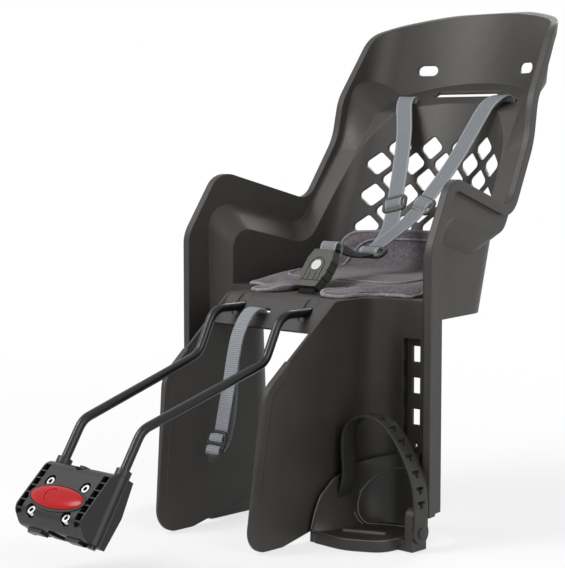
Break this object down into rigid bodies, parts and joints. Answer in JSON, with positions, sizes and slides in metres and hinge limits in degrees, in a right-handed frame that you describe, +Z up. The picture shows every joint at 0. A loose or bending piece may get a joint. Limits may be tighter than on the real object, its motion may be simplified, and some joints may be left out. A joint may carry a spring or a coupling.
{
  "type": "child bike seat",
  "caption": "Rear-mounted moulded bucket seat for a child, with leg guards, height-adjustable footrests, harness and a bent steel carrier rod that plugs into a clamp on the bicycle's seat tube.",
  "frame": {"origin": "middle of the whole length and width, on the flat that the leg guards and footrests stand on", "axes": "+Z up, -Y the rider's way (towards the clamp block), +X the child's left"},
  "size_m": [0.4256, 0.8044, 0.6521],
  "materials": {
    "shell_plastic": "moulded, fine matte grain",
    "footrest_plastic": "moulded, fine matte grain",
    "block_plastic": "moulded, satin",
    "rod_steel": "gloss black powder coat",
    "plain_steel": "zinc plated",
    "red_button": "polished moulding",
    "cushion_felt": "brushed felt with piping",
    "webbing": "woven twill webbing",
    "dark_webbing": "woven webbing",
    "strap_rubber": "soft moulded strap",
    "buckle_plastic": "moulded, satin",
    "silver_button": "silver coated, bare"
  },
  "bodies": {
    "seat": {"seat_shell": "shell_plastic", "seat_cushion": "cushion_felt", "carrier_rod": "rod_steel", "rod_retainer": "shell_plastic", "retainer_screws": "plain_steel", "strap_anchor_bars": "plain_steel", "shoulder_strap_left": "webbing", "shoulder_strap_right": "webbing", "strap_slider_left": "buckle_plastic", "strap_slider_right": "buckle_plastic", "strap_joiner": "buckle_plastic", "joiner_strap": "dark_webbing", "buckle_loop": "webbing", "buckle_housing": "buckle_plastic", "crotch_strap": "dark_webbing", "safety_strap": "webbing", "ladder_lock": "block_plastic"},
    "clamp_block": {"block_front_half": "block_plastic", "block_rear_half": "block_plastic", "clamp_bolts": "plain_steel", "clamp_nuts": "plain_steel", "button_springs": "plain_steel"},
    "release_button": {"release_button": "red_button"},
    "buckle_button": {"buckle_button": "silver_button"},
    "footrest_left": {"footrest_left": "footrest_plastic", "foot_strap_left": "strap_rubber", "foot_strap_studs_left": "footrest_plastic"},
    "footrest_right": {"footrest_right": "footrest_plastic", "foot_strap_right": "strap_rubber", "foot_strap_studs_right": "footrest_plastic"}
  },
  "joints": [
    {"name": "clamp_block_slide", "type": "slide", "parent": "seat", "child": "clamp_block", "axis": [0, -0.5344, -0.8453], "range_m": [0, 0.08]},
    {"name": "release_button_press", "type": "slide", "parent": "clamp_block", "child": "release_button", "axis": [0, 0.6801, -0.7331], "range_m": [0, 0.003], "stiffness_N_per_m": 1500, "deforming": ["button_springs"]},
    {"name": "buckle_button_press", "type": "slide", "parent": "seat", "child": "buckle_button", "axis": [0, 0.788, -0.6157], "range_m": [0, 0.002], "stiffness_N_per_m": 2000},
    {"name": "footrest_left_height", "type": "slide", "parent": "seat", "child": "footrest_left", "axis": [0, 0, 1], "range_m": [0, 0.077]},
    {"name": "footrest_right_height", "type": "slide", "parent": "seat", "child": "footrest_right", "axis": [0, 0, 1], "range_m": [0, 0.077]}
  ]
}
